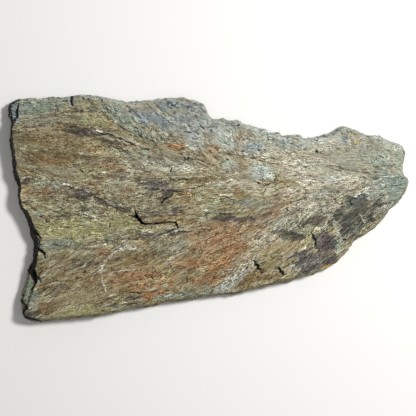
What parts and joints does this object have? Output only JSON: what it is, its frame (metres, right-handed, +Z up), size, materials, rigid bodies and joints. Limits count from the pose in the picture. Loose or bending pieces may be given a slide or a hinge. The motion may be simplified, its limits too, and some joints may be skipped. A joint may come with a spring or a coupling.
{
  "type": "polygonal flagstone",
  "caption": "Irregular slab of split foliated stone with a rough ledged top face, chipped rims and a laminated edge, laid flat as paving.",
  "frame": {"origin": "on the flat bed of the stone, under the centre of its bounding box", "axes": "+X along the longest extent towards the narrow end, +Y towards the long edge with the chipped rim, +Z up out of the rough top face"},
  "size_m": [0.8024, 0.4552, 0.0417],
  "materials": {
    "stone": "natural cleft schist, dull and rough, streaked olive brown and grey green with rust patches and pale veins"
  },
  "bodies": {
    "root": {"flagstone": "stone"}
  },
  "joints": []
}
